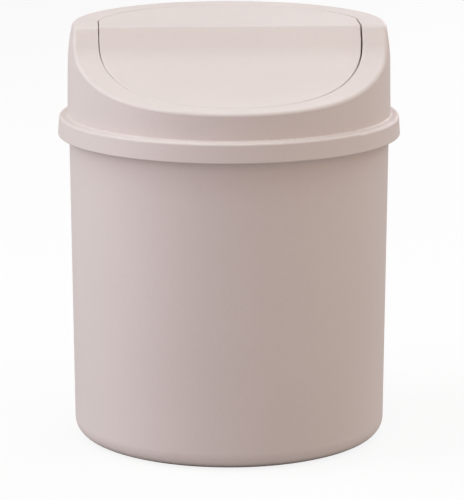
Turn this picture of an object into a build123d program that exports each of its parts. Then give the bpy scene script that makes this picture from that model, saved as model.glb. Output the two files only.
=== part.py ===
from build123d import *
import os
from math import acos, asin, atan2, cos, degrees, hypot, radians, sin, tan

# Countertop trash can with a swing lid. Millimetres, +Z up, the front of the lid faces -Y.
# The origin is the centre of the foot, on the surface that the can stands on.

# ---------------------------------------------------------------- driving dimensions
# bin
BODY_HEIGHT = 130.0              # to the rim that the lid sits on
FOOT_RADIUS = 63.6               # drafted wall carried down to the foot
MOUTH_RADIUS = 65.0              # drafted wall at the rim
BODY_WALL = 1.8
BASE_THICKNESS = 2.2
BASE_FILLET = 6.7
FOOT_RING_WIDTH = 3.0            # flat ring that the can stands on
BASE_RECESS = 0.8                # the base inside the foot ring stands this much clear
GATE_DIAMETER = 8.0
GATE_DEPTH = 0.4
BEAD_DEPTH = 1.7                 # how far the rim bead stands out from the wall
BEAD_HEIGHT = 3.2
RIM_ROUND = 0.7

# lid band, which caps the rim
LID_HEIGHT = 40.0                # above the rim
BAND_DROP = 5.05                 # below the rim
BAND_RISE = 2.85                 # shoulder above the rim
BAND_GAP = 0.7                   # between the band and the rim bead
BAND_WALL = 2.1
BAND_TAPER = 0.5                 # the band is this much smaller at its shoulder
BAND_ROUND = 1.2
BAND_EDGE_ROUND = 0.4
SHOULDER_THICKNESS = 1.8
SPIGOT_GAP = 0.5                 # lid's inner ring to the bin's wall
SPIGOT_WALL = 1.3
SPIGOT_DEPTH = 4.0

# lid hood
HOOD_STEP = 0.6                  # hood's wall outside the bin's, at the shoulder
LID_WALL = 1.8
HOOD_DRAFT = 1.0                 # degrees
CROWN_HEIGHT = 16.0              # the wall bends inward over this much of its top
CROWN_RADIUS = 78.0
TOP_ROUND = 1.4                  # edge round the top and along the lip
HOOD_FOOT_ROUND = 0.6

# front scoop, a ruled surface: a straight run, a short hollow, then a long shallow hollow
CREASE_Y = -10.5                 # where the flat top ends
SCOOP_ANGLE = 54.3               # degrees below level at the crease
SCOOP_RUN = 9.8
SHORT_HOLLOW_RADIUS = 22.0
LONG_HOLLOW_ANGLE = 26.5         # degrees, where the short hollow meets the long one
LONG_HOLLOW_RADIUS = 110.5
CHEEK_CREASE_ROUND = 3.0
FLAP_CREASE_ROUND = 1.2

# opening: a circle with its two sides cut flat
FRONT_BORDER = 7.8               # from the hood's radius to the opening
SIDE_BORDER = 12.7
BACK_BORDER = 14.8
OPENING_CORNER_ROUND = 20.0      # where the circle meets a flat
OPENING_EDGE_ROUND = 0.3
RIM_WALL = 2.2                   # lip that runs down round the opening, under the skin

# flap
FLAP_GAP = 0.5                   # flap to opening, all round
FORWARD_SHIFT = 0.35             # the flap sits this much towards the front of its opening
SIDE_SHIFT = 0.15                # and this much towards -X, within its end play
FLAP_THICKNESS = 1.8
FLAP_EDGE_ROUND = 0.5
SKIRT_DROP = 3.2                 # flap's skirt, under its plate
SKIRT_WALL = 1.4
RIB_WALL = 1.2
RIB_SPACING = 44.0
RIB_COUNT = 2

# ledge that the back of the flap rests on
LEDGE_GAP = 0.3
LEDGE_THICKNESS = 1.6
LEDGE_WIDTH = 3.2                # past the edge of the opening
LEDGE_START = 8.0                # behind the can's axis

# pivot
PIVOT_BEHIND = 2.5               # behind the crease, out of sight down the gap
PIVOT_DROP = 7.0                 # below the flat top
PIN_DIAMETER = 4.0
PIN_CLEARANCE = 0.06             # on the radius, in the socket
PIN_END_GAP = 1.0                # the pin stops this much short of the socket's depth
PIN_TIP_ROUND = 0.5
EAR_WALL = 2.6
EAR_MARGIN = 1.6                 # plastic round the root of the pin
CROSS_RIB_WALL = 1.6
SOCKET_WALL = 2.4                # plastic round the pin hole
SOCKET_DEPTH = 4.6               # along the pin
RAMP_DEPTH = 1.0                 # ramp that the pin climbs as the flap snaps in

# peg that stops the open flap at its skirt
STOP_ANGLE = 80.0                # degrees that the flap opens
PEG_DIAMETER = 2.6
PEG_CLEARANCE = 0.15             # to the skirt at the stop angle
PEG_SPACE = 3.3                  # between the peg and the ear
PEG_ROOT_MARGIN = 1.2            # plastic round the foot of the peg
PEG_OVERLAP = 1.05               # inward past the skirt

# ---------------------------------------------------------------- sizes that follow
OVERALL_HEIGHT = BODY_HEIGHT + LID_HEIGHT
BODY_MOUTH_INSIDE = MOUTH_RADIUS - BODY_WALL
FLOOR_Z = BASE_RECESS + BASE_THICKNESS
BEAD_RADIUS = MOUTH_RADIUS + BEAD_DEPTH
BAND_INSIDE = BEAD_RADIUS + BAND_GAP
BAND_RADIUS = BAND_INSIDE + BAND_WALL
BAND_BOTTOM_Z = BODY_HEIGHT - BAND_DROP
BAND_TOP_Z = BODY_HEIGHT + BAND_RISE
SHOULDER_UNDERSIDE = BAND_TOP_Z - SHOULDER_THICKNESS
SPIGOT_RADIUS = BODY_MOUTH_INSIDE - SPIGOT_GAP
HOOD_RADIUS = MOUTH_RADIUS + HOOD_STEP
OPENING_RADIUS = HOOD_RADIUS - (FRONT_BORDER + BACK_BORDER) / 2
OPENING_Y = (FRONT_BORDER - BACK_BORDER) / 2
OPENING_SIDE = HOOD_RADIUS - SIDE_BORDER
FLAP_SIDE = OPENING_SIDE - FLAP_GAP
SKIRT_DEPTH = FLAP_THICKNESS + SKIRT_DROP
LEDGE_TOP = OVERALL_HEIGHT - SKIRT_DEPTH - LEDGE_GAP
RIM_DEPTH = SKIRT_DEPTH + LEDGE_GAP + LEDGE_THICKNESS
PIVOT_Y = CREASE_Y + PIVOT_BEHIND
PIVOT_Z = OVERALL_HEIGHT - PIVOT_DROP
PIVOT = Vector(PIVOT_Y, PIVOT_Z)     # in the side view
EAR_RADIUS = PIN_DIAMETER / 2 + EAR_MARGIN
HOLE_RADIUS = PIN_DIAMETER / 2 + PIN_CLEARANCE
BOSS_RADIUS = HOLE_RADIUS + SOCKET_WALL
SOCKET_END = OPENING_SIDE + SOCKET_DEPTH
PIN_END = SOCKET_END - PIN_END_GAP
CUT_MARGIN = 5.0
REACH = BAND_RADIUS + CUT_MARGIN     # cutting shapes run this far, past every face
SKIN_LEAN = 0.55                     # a lowered copy of the top moves back by this share


# ---------------------------------------------------------------- shared shapes
def rounded(outline, corner, radius):
    """Round the corner of a flat outline that lies nearest to a point."""
    vertex = outline.vertices().sort_by_distance(Vector(*corner))[0]
    return fillet(vertex, radius)


def turned(outline):
    """Turn a (radius, height) outline round the can's axis."""
    return revolve(Plane.XZ * outline, axis=Axis.Z)


def upright(radius, bottom, top):
    """Upright cylinder on the can's axis, with its seam at the back."""
    return Pos(0, 0, (bottom + top) / 2) * Rot(Z=90) * Cylinder(radius, top - bottom)


def flat_sided(side, bottom, top):
    """Upright prism in the outline of the opening, grown or shrunk to another half-width."""
    outline = Circle(OPENING_RADIUS + side - OPENING_SIDE) & Rectangle(2 * side, 2 * REACH)
    outline = fillet(outline.vertices(), OPENING_CORNER_ROUND)
    return extrude(Pos(0, OPENING_Y, bottom) * outline, amount=top - bottom)


def slope_arc(start, radius, first, last):
    """Arc that turns from one slope angle to another as it runs to the front.

    Angles are in degrees below level. A positive radius is hollow, a negative one is crowned.
    """
    centre = start + radius * Vector(-sin(radians(first)), cos(radians(first)))
    points = []
    for angle in (first, (first + last) / 2, last):
        turn = radians(angle)
        points.append(centre + radius * Vector(sin(turn), -cos(turn)))
    return ThreePointArc(*points)


def under_top(depth, crease_round):
    """Everything under the lid's top surface, with that surface lowered by depth."""
    top = OVERALL_HEIGHT
    fall = Vector(-cos(radians(SCOOP_ANGLE)), -sin(radians(SCOOP_ANGLE)))
    crease = Vector(CREASE_Y, top)
    tangent = crease_round * tan(radians(SCOOP_ANGLE / 2))
    flat = Line((REACH, top), (CREASE_Y + tangent, top))
    bend = slope_arc(flat @ 1, -crease_round, 0, SCOOP_ANGLE)
    run = Line(bend @ 1, crease + SCOOP_RUN * fall)
    short = slope_arc(run @ 1, SHORT_HOLLOW_RADIUS, SCOOP_ANGLE, LONG_HOLLOW_ANGLE)
    join = short @ 1
    long_centre_y = join.X - LONG_HOLLOW_RADIUS * sin(radians(LONG_HOLLOW_ANGLE))
    last = degrees(asin((-REACH - long_centre_y) / LONG_HOLLOW_RADIUS))
    long = slope_arc(join, LONG_HOLLOW_RADIUS, LONG_HOLLOW_ANGLE, last)
    sides = Polyline(long @ 1, (-REACH, 0), (REACH, 0), (REACH, top))
    outline = make_face(Wire([flat, bend, run, short, long, *sides.edges()]))
    block = extrude(Plane.YZ * outline, amount=REACH, both=True)
    return Pos(0, SKIN_LEAN * depth, -depth) * block


def top_edges(solid):
    """Edges where the lid's top surface meets an upright wall."""
    steep = 0.4
    top_faces = solid.faces().filter_by(
        lambda face: face.normal_at().Z > steep and face.center().Z > BAND_TOP_Z + BAND_ROUND)
    wall_edges = solid.faces().filter_by(lambda face: abs(face.normal_at().Z) <= steep).edges()
    return top_faces.edges().filter_by(lambda edge: any(edge.is_same(other) for other in wall_edges))


def round_opening(edge):
    """True for an edge whose middle is no further from the can's axis than the opening's front."""
    middle = edge @ 0.5
    return hypot(middle.X, middle.Y) < OPENING_RADIUS - OPENING_Y + 0.01


# ---------------------------------------------------------------- bin
def bin_body():
    """Open tub with a foot ring, a rounded base and a bead round its rim."""
    lean = (MOUTH_RADIUS - FOOT_RADIUS) / BODY_HEIGHT
    ring_inner = FOOT_RADIUS - BASE_FILLET - FOOT_RING_WIDTH
    bead_bottom = BODY_HEIGHT - BEAD_HEIGHT
    inside_at_floor = FOOT_RADIUS + lean * FLOOR_Z - BODY_WALL
    outline = make_face(Polyline(
        (0, BASE_RECESS),
        (ring_inner, BASE_RECESS),
        (ring_inner, 0),
        (FOOT_RADIUS, 0),
        (FOOT_RADIUS + lean * bead_bottom, bead_bottom),
        (BEAD_RADIUS, bead_bottom),
        (BEAD_RADIUS, BODY_HEIGHT),
        (BODY_MOUTH_INSIDE, BODY_HEIGHT),
        (inside_at_floor, FLOOR_Z),
        (0, FLOOR_Z),
        close=True,
    ))
    outline = rounded(outline, (FOOT_RADIUS, 0), BASE_FILLET)
    outline = rounded(outline, (inside_at_floor, FLOOR_Z), BASE_FILLET - BODY_WALL)
    for corner in (
        (BEAD_RADIUS, bead_bottom),
        (BEAD_RADIUS, BODY_HEIGHT),
        (BODY_MOUTH_INSIDE, BODY_HEIGHT),
    ):
        outline = rounded(outline, corner, RIM_ROUND)
    gate = upright(GATE_DIAMETER / 2, 0, BASE_RECESS + GATE_DEPTH)
    return turned(outline) - gate


# ---------------------------------------------------------------- lid
def hood_outline(inset, foot):
    """Hood wall and crown, moved in by inset and closed to the axis above its foot points."""
    draft = radians(HOOD_DRAFT)
    crown_start = OVERALL_HEIGHT - CROWN_HEIGHT
    crown_x = HOOD_RADIUS - (crown_start - BAND_TOP_Z) * tan(draft)
    centre = Vector(crown_x, crown_start) - CROWN_RADIUS * Vector(cos(draft), sin(draft))
    radius = CROWN_RADIUS - inset
    end = asin((OVERALL_HEIGHT - centre.Y) / radius)
    turns = (draft, (draft + end) / 2, end)
    crown = ThreePointArc(*[centre + radius * Vector(cos(turn), sin(turn)) for turn in turns])
    wall = Line((HOOD_RADIUS - inset / cos(draft), BAND_TOP_Z), crown @ 0)
    rest = Polyline(crown @ 1, (0, OVERALL_HEIGHT), (0, foot[0][1]), *foot, wall @ 0)
    return make_face(Wire([wall, crown, *rest.edges()]))


def lid_shell():
    """Band, shoulder and hood as one skin, with the scooped front and the opening."""
    band_foot = (BAND_RADIUS, BAND_BOTTOM_Z)
    band_corner = (BAND_RADIUS - BAND_TAPER, BAND_TOP_Z)
    outline = hood_outline(0, [band_foot, band_corner])
    outline = rounded(outline, band_corner, BAND_ROUND)
    outline = rounded(outline, band_foot, BAND_EDGE_ROUND)
    outline = rounded(outline, (HOOD_RADIUS, BAND_TOP_Z), HOOD_FOOT_ROUND)
    solid = turned(outline) & under_top(0, CHEEK_CREASE_ROUND)
    solid = fillet(top_edges(solid), TOP_ROUND)
    solid -= flat_sided(OPENING_SIDE, BAND_BOTTOM_Z, OVERALL_HEIGHT + CUT_MARGIN)
    solid = fillet(top_edges(solid).filter_by(round_opening), OPENING_EDGE_ROUND)

    spigot_inside = SPIGOT_RADIUS - SPIGOT_WALL
    cut_bottom = BAND_BOTTOM_Z - CUT_MARGIN
    hollow = hood_outline(LID_WALL, [(spigot_inside, cut_bottom), (spigot_inside, SHOULDER_UNDERSIDE)])
    solid -= turned(hollow) & under_top(LID_WALL, CHEEK_CREASE_ROUND)

    # channel for the rim bead; the step at its inner side is the seat on the bin's rim
    seat_outside = MOUTH_RADIUS + BEAD_DEPTH / 2
    channel = make_face(Polyline(
        (SPIGOT_RADIUS, cut_bottom),
        (BAND_INSIDE, cut_bottom),
        (BAND_INSIDE, SHOULDER_UNDERSIDE),
        (seat_outside, SHOULDER_UNDERSIDE),
        (seat_outside, BODY_HEIGHT),
        (SPIGOT_RADIUS, BODY_HEIGHT),
        close=True,
    ))
    below_spigot = upright(SPIGOT_RADIUS, cut_bottom, BODY_HEIGHT - SPIGOT_DEPTH)
    return solid - turned(channel) - below_spigot


def opening_rim():
    """Lip round the opening, and the ledge under the back of the flap."""
    outside = flat_sided(OPENING_SIDE + RIM_WALL, BAND_TOP_Z, OVERALL_HEIGHT)
    tube = outside - flat_sided(OPENING_SIDE, BAND_TOP_Z, OVERALL_HEIGHT)
    rim = tube & under_top(LID_WALL / 2, CHEEK_CREASE_ROUND)
    rim -= under_top(RIM_DEPTH, CHEEK_CREASE_ROUND)
    ledge = flat_sided(OPENING_SIDE + RIM_WALL / 2, LEDGE_TOP - LEDGE_THICKNESS, LEDGE_TOP)
    ledge -= flat_sided(OPENING_SIDE - LEDGE_WIDTH, BAND_TOP_Z, OVERALL_HEIGHT)
    back = Pos(0, LEDGE_START + REACH, LEDGE_TOP) * Box(2 * REACH, 2 * REACH, 2 * REACH)
    return rim + (ledge & back)


def peg_place():
    """Side-view centre of the stop peg, where the skirt's front edge meets it at STOP_ANGLE."""
    turn = radians(SCOOP_ANGLE)
    run_end = Vector(CREASE_Y, OVERALL_HEIGHT) - SCOOP_RUN * Vector(cos(turn), sin(turn))
    hollow_centre = run_end + SHORT_HOLLOW_RADIUS * Vector(-sin(turn), cos(turn))
    away = hollow_centre + Vector(SKIN_LEAN * SKIRT_DEPTH, -SKIRT_DEPTH) - PIVOT
    touch = SHORT_HOLLOW_RADIUS + PEG_DIAMETER / 2 + PEG_CLEARANCE
    arm = EAR_RADIUS + PEG_SPACE + PEG_DIAMETER / 2
    spread = acos((away.length ** 2 + arm ** 2 - touch ** 2) / (2 * away.length * arm))
    angle = atan2(away.Y, away.X) + spread + radians(STOP_ANGLE)
    return PIVOT + arm * Vector(cos(angle), sin(angle))


def side_plate(outline, inner, outer):
    """Side-view outline as a plate on the right, between two distances from the middle."""
    return extrude(Plane.YZ.offset(inner) * outline, amount=outer - inner)


def both_sides(right):
    """A right-hand solid and its mirror image on the left."""
    return right + mirror(right, about=Plane.YZ)


def hanger(radius):
    """Side-view outline of a hanger: round at the pivot, straight up from it."""
    strap = Pos(PIVOT_Y, (PIVOT_Z + OVERALL_HEIGHT) / 2) * Rectangle(2 * radius, PIVOT_DROP)
    return strap + Pos(PIVOT) * Circle(radius)


def socket():
    """Right-hand pivot boss under the cheek, with the stop peg beside it."""
    peg = peg_place()
    root_radius = PEG_DIAMETER / 2 + PEG_ROOT_MARGIN
    reach = peg - PIVOT
    lean = degrees(atan2(reach.Y, reach.X))
    arm = Pos((PIVOT + peg) / 2) * Rot(Z=lean) * Rectangle(reach.length, 2 * root_radius)
    outline = hanger(BOSS_RADIUS) + arm + Pos(peg) * Circle(root_radius)
    boss = side_plate(outline, OPENING_SIDE / 2, SOCKET_END) & under_top(LID_WALL / 2, CHEEK_CREASE_ROUND)
    boss -= flat_sided(OPENING_SIDE, BAND_TOP_Z, OVERALL_HEIGHT)
    peg_tip = FLAP_SIDE - SKIRT_WALL - PEG_OVERLAP
    return boss + side_plate(Pos(peg) * Circle(PEG_DIAMETER / 2), peg_tip, SOCKET_END)


def pin_way():
    """Right-hand pin hole, and the ramp below it that the pin climbs as the flap snaps in."""
    hole = side_plate(Pos(PIVOT) * Circle(HOLE_RADIUS), OPENING_SIDE / 2, SOCKET_END + PIN_CLEARANCE)
    bottom = PIVOT_Z - BOSS_RADIUS
    ramp = make_face(Polyline(
        (OPENING_SIDE / 2, bottom),
        (OPENING_SIDE + RAMP_DEPTH, bottom),
        (OPENING_SIDE, PIVOT_Z),
        (OPENING_SIDE / 2, PIVOT_Z),
        close=True,
    ))
    return hole + extrude(Plane.XZ.offset(-PIVOT_Y) * ramp, amount=HOLE_RADIUS, both=True)


def lid_frame():
    """Whole lid: skin, rim, ledge, and a socket on each side."""
    return lid_shell() + opening_rim() + both_sides(socket()) - both_sides(pin_way())


# ---------------------------------------------------------------- flap
def flap_disc(side):
    """Upright prism in the flap's outline, tall enough to cut from."""
    return Pos(0, -FORWARD_SHIFT, 0) * flat_sided(side, BAND_TOP_Z, OVERALL_HEIGHT + CUT_MARGIN)


def flap_slab(upper, side):
    """Slab from a lowered copy of the top surface down to the skirt's lower edge."""
    slab = flap_disc(side) & under_top(upper, FLAP_CREASE_ROUND)
    return slab - under_top(SKIRT_DEPTH, FLAP_CREASE_ROUND)


def flap_ribs():
    """Ribs from front to back under the plate, and one across between the ears."""
    inside = FLAP_SIDE - SKIRT_WALL / 2
    under_plate = FLAP_THICKNESS / 2
    bed = flap_slab(under_plate, inside)
    cross = Pos(0, PIVOT_Y, PIVOT_Z) * Box(2 * inside, CROSS_RIB_WALL, 2 * PIVOT_DROP)
    floor = Pos(0, PIVOT_Y, PIVOT_Z - EAR_RADIUS - PIVOT_DROP) * Box(2 * REACH, EAR_RADIUS, 2 * PIVOT_DROP)
    ribs = flap_disc(inside) & cross & under_top(under_plate, FLAP_CREASE_ROUND)
    ribs -= floor
    for number in range(RIB_COUNT):
        x = RIB_SPACING * (number - (RIB_COUNT - 1) / 2)
        ribs += bed & Pos(x, 0, OVERALL_HEIGHT / 2) * Box(RIB_WALL, 2 * REACH, OVERALL_HEIGHT)
    return ribs


def ear():
    """Right-hand ear under the edge of the plate, with its stub pin."""
    root = FLAP_SIDE - EAR_WALL
    body = side_plate(hanger(EAR_RADIUS), root, FLAP_SIDE) & flap_disc(FLAP_SIDE)
    body &= under_top(FLAP_THICKNESS / 2, FLAP_CREASE_ROUND)
    pin = side_plate(Pos(PIVOT) * Circle(PIN_DIAMETER / 2), root, PIN_END)
    return body + fillet(pin.edges().sort_by(Axis.X)[-1], PIN_TIP_ROUND)


def swing_flap():
    """Flap that continues the lid's top, with skirt, ribs, ears and stub pins."""
    plate = flap_slab(0, FLAP_SIDE)
    plate = fillet(top_edges(plate), FLAP_EDGE_ROUND)
    plate -= flap_disc(FLAP_SIDE - SKIRT_WALL) & under_top(FLAP_THICKNESS, FLAP_CREASE_ROUND)
    return Pos(-SIDE_SHIFT, 0, 0) * (plate + flap_ribs() + both_sides(ear()))


# ---------------------------------------------------------------- assembly
PIECES = {
    "bin_body": bin_body,
    "lid_frame": lid_frame,
    "swing_flap": swing_flap,
}

os.makedirs("parts", exist_ok=True)
for name, make in PIECES.items():
    piece = make()
    piece.label = name
    export_step(piece, f"parts/{name}.step")
    print(name, round(piece.volume), "mm3, centre", [round(value, 2) for value in piece.center()])
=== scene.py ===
import math

import bpy
from mathutils import Euler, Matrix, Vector

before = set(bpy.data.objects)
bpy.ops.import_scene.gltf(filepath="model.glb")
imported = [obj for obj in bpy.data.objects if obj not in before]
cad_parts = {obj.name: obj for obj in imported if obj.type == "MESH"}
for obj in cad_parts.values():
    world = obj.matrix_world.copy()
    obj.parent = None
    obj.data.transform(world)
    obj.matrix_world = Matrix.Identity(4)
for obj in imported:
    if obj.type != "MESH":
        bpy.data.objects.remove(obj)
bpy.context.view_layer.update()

# Studio shot of the countertop trash can. Lengths are in metres, angles in degrees.

# ---------------------------------------------------------------- view
CAMERA_DISTANCE = 1.2447        # from the can's axis, along the floor
CAMERA_HEIGHT = 0.3508
CAMERA_TILT = 12.461            # below level
CAMERA_SIDESTEP = 0.0012        # to the camera's right
CAMERA_LENS = 223.6             # mm, with a 36 mm sensor on the long side
CAMERA_CLIP = (0.05, 20.0)      # nearest and furthest distance in view
VIEW_TURN = 2.9                 # round the can, whose front points to the camera's right


def add_camera():
    """Camera at the viewing angle of the product shot."""
    data = bpy.data.cameras.new("camera")
    data.lens = CAMERA_LENS
    data.clip_start, data.clip_end = CAMERA_CLIP
    camera = bpy.data.objects.new("camera", data)
    turn = math.radians(-VIEW_TURN)
    place = Vector((CAMERA_SIDESTEP, -CAMERA_DISTANCE, CAMERA_HEIGHT))
    place.rotate(Euler((0, 0, turn)))
    camera.location = place
    camera.rotation_euler = (math.radians(90 - CAMERA_TILT), 0, turn)
    bpy.context.scene.collection.objects.link(camera)
    bpy.context.scene.camera = camera


# ---------------------------------------------------------------- light
CAN_MIDDLE = Vector((0, 0, 0.09))
SOFTBOX_DISTANCE = 1.5          # from the can's middle
SOFTBOX_SIZE = 1.0              # length of a side
SOFTBOXES = (
    # name, direction round the can (0 the camera's, 90 its right), height angle, watts, colour
    ("low_left", -90, 15, 3.07, (0.80, 1.00, 0.90)),
    ("front_left", -60, 20, 6.62, (0.95, 0.86, 1.00)),
    ("high_left", -90, 50, 8.79, (0.85, 0.97, 1.00)),
    ("front_right", 60, 20, 3.65, (1.00, 0.76, 0.53)),
    ("back_right", 150, 25, 6.63, (0.98, 0.95, 1.00)),
    ("high_right", 90, 50, 6.08, (0.83, 0.94, 1.00)),
    ("overhead", 0, 78, 5.33, (0.82, 1.00, 0.94)),
)
FILL_FROM_ABOVE = (0.298, 0.230, 0.222)
FILL_FROM_BELOW = (0.477, 0.450, 0.437)
HORIZON_BLUR = 0.02             # each way off level, as a sine, over which the fills blend


def add_softbox(name, around, up, watts, colour):
    """Square softbox that faces the middle of the can."""
    data = bpy.data.lights.new(name, "AREA")
    data.shape = "SQUARE"
    data.size = SOFTBOX_SIZE
    data.energy = watts
    data.color = colour
    turn, lift = math.radians(around - VIEW_TURN), math.radians(up)
    away = Vector((
        math.sin(turn) * math.cos(lift),
        -math.cos(turn) * math.cos(lift),
        math.sin(lift),
    ))
    lamp = bpy.data.objects.new(name, data)
    lamp.location = CAN_MIDDLE + SOFTBOX_DISTANCE * away
    lamp.rotation_euler = (-away).to_track_quat("-Z", "Y").to_euler()
    bpy.context.scene.collection.objects.link(lamp)


def add_world():
    """Even fill, with one colour from above the horizon and another from below."""
    world = bpy.data.worlds.new("studio")
    bpy.context.scene.world = world
    world.use_nodes = True
    tree = world.node_tree
    direction = tree.nodes.new("ShaderNodeTexCoord")
    parts = tree.nodes.new("ShaderNodeSeparateXYZ")
    horizon = tree.nodes.new("ShaderNodeMapRange")
    horizon.inputs["From Min"].default_value = -HORIZON_BLUR
    horizon.inputs["From Max"].default_value = HORIZON_BLUR
    fill = tree.nodes.new("ShaderNodeMix")
    fill.data_type = "RGBA"
    below, above = [socket for socket in fill.inputs if socket.type == "RGBA"]
    below.default_value = (*FILL_FROM_BELOW, 1)
    above.default_value = (*FILL_FROM_ABOVE, 1)
    mixed = [socket for socket in fill.outputs if socket.type == "RGBA"][0]
    tree.links.new(direction.outputs["Generated"], parts.inputs[0])
    tree.links.new(parts.outputs["Z"], horizon.inputs["Value"])
    tree.links.new(horizon.outputs["Result"], fill.inputs[0])
    tree.links.new(mixed, tree.nodes["Background"].inputs["Color"])


# ---------------------------------------------------------------- ground
FLOOR_REACH = 6.0               # from the can's axis to each side
FLOOR_TONE = 0.12               # share of the light that the floor returns
FLOOR_ROUGHNESS = 0.9
FLOOR_GLOW = 0.86               # light of its own, which keeps the shadow on it faint
SHADE_RADIUS = 0.0626           # between those of the foot ring and of the wall above it
SHADE_DEPTH = 0.0003            # under the ground
SHADE_CORNERS = 96


def add_flat_piece(name, corners):
    """Flat piece in the floor's matte tone. Returns the object and its shader."""
    mesh = bpy.data.meshes.new(name)
    mesh.from_pydata(corners, [], [tuple(range(len(corners)))])
    material = bpy.data.materials.new(name)
    material.use_nodes = True
    shader = material.node_tree.nodes["Principled BSDF"]
    shader.inputs["Base Color"].default_value = (FLOOR_TONE, FLOOR_TONE, FLOOR_TONE, 1)
    shader.inputs["Roughness"].default_value = FLOOR_ROUGHNESS
    shader.inputs["Specular IOR Level"].default_value = 0.0
    mesh.materials.append(material)
    piece = bpy.data.objects.new(name, mesh)
    bpy.context.scene.collection.objects.link(piece)
    return piece, shader


def add_floor():
    """Pale floor that fills the view."""
    reach = FLOOR_REACH
    corners = [(-reach, -reach, 0), (reach, -reach, 0), (reach, reach, 0), (-reach, reach, 0)]
    floor, shader = add_flat_piece("floor", corners)
    shader.inputs["Emission Color"].default_value = (1, 1, 1, 1)
    shader.inputs["Emission Strength"].default_value = FLOOR_GLOW
    # The fill from below stands in for its bounced light, so rays that light the can pass it.
    floor.visible_diffuse = False
    floor.visible_glossy = False
    floor.visible_shadow = False


def add_foot_shade():
    """Disc that keeps the fill from below off the foot's edge, unseen by the camera.

    It stands for the part of the floor that lies in the can's own shade.
    """
    turns = [math.tau * corner / SHADE_CORNERS for corner in range(SHADE_CORNERS)]
    corners = [
        (SHADE_RADIUS * math.cos(turn), SHADE_RADIUS * math.sin(turn), -SHADE_DEPTH)
        for turn in turns
    ]
    shade, _ = add_flat_piece("foot_shade", corners)
    shade.visible_camera = False


# ---------------------------------------------------------------- materials
# Moulded polypropylene with a fine spark-eroded finish.
PIGMENT = (0.745, 0.665, 0.639)         # blush
# Each noise has a scale per metre and a detail.
TONE_NOISE = (16.0, 3)                  # slow drift of the pigment, about 60 mm
MOTTLE_NOISE = (650.0, 2)               # about 1.5 mm
ROUGHNESS_NOISE = (64.0, 4)             # about 16 mm
RIPPLE_NOISE = (380.0, 1)               # faint waviness of the mould's polish, about 2.5 mm
GRAIN_NOISE = (5200.0, 2)               # about 0.2 mm
NOISE_SPAN = (0.3, 0.7)                 # values between which nearly all noise lies
TONE_RANGE = (0.975, 1.015)
MOTTLE_RANGE = (0.988, 1.010)
ROUGHNESS_RANGE = (0.46, 0.54)
RIPPLE_DEPTH = 0.000010
GRAIN_DEPTH = 0.000012


def moulded_plastic(name, seed):
    """Matte moulded plastic: drifting, lightly mottled colour and a fine, uneven grain."""
    material = bpy.data.materials.new(name)
    material.use_nodes = True
    tree = material.node_tree
    shader = tree.nodes["Principled BSDF"]
    place = tree.nodes.new("ShaderNodeTexCoord").outputs["Object"]

    def noise(scale, detail):
        node = tree.nodes.new("ShaderNodeTexNoise")
        node.noise_dimensions = "4D"
        node.inputs["Scale"].default_value = scale
        node.inputs["Detail"].default_value = detail
        node.inputs["W"].default_value = seed
        tree.links.new(place, node.inputs["Vector"])
        return node.outputs["Fac"]

    def spread(value, low, high):
        node = tree.nodes.new("ShaderNodeMapRange")
        node.inputs["From Min"].default_value = NOISE_SPAN[0]
        node.inputs["From Max"].default_value = NOISE_SPAN[1]
        node.inputs["To Min"].default_value = low
        node.inputs["To Max"].default_value = high
        tree.links.new(value, node.inputs["Value"])
        return node.outputs["Result"]

    def tinted(shade, tint):
        node = tree.nodes.new("ShaderNodeVectorMath")
        node.operation = "SCALE"
        if isinstance(tint, tuple):
            node.inputs[0].default_value = tint
        else:
            tree.links.new(tint, node.inputs[0])
        tree.links.new(shade, node.inputs["Scale"])
        return node.outputs["Vector"]

    def bump(height, depth, below=None):
        node = tree.nodes.new("ShaderNodeBump")
        node.inputs["Strength"].default_value = 1.0
        node.inputs["Distance"].default_value = depth
        tree.links.new(height, node.inputs["Height"])
        if below:
            tree.links.new(below, node.inputs["Normal"])
        return node.outputs["Normal"]

    drift = tinted(spread(noise(*TONE_NOISE), *TONE_RANGE), PIGMENT)
    mottled = tinted(spread(noise(*MOTTLE_NOISE), *MOTTLE_RANGE), drift)
    tree.links.new(mottled, shader.inputs["Base Color"])
    roughness = spread(noise(*ROUGHNESS_NOISE), *ROUGHNESS_RANGE)
    tree.links.new(roughness, shader.inputs["Roughness"])
    ripple = bump(noise(*RIPPLE_NOISE), RIPPLE_DEPTH)
    grain = bump(noise(*GRAIN_NOISE), GRAIN_DEPTH, ripple)
    tree.links.new(grain, shader.inputs["Normal"])
    return material


PLASTICS = {
    # node: name of its material, seed of its noise
    "bin_body": ("bin_plastic", 1.0),
    "lid_frame": ("lid_plastic", 2.0),
    "swing_flap": ("flap_plastic", 3.0),
}

for node, plastic in PLASTICS.items():
    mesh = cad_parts[node].data
    mesh.materials.clear()
    mesh.materials.append(moulded_plastic(*plastic))

add_camera()
add_world()
for softbox in SOFTBOXES:
    add_softbox(*softbox)
add_floor()
add_foot_shade()
bpy.context.scene.view_settings.view_transform = "Standard"
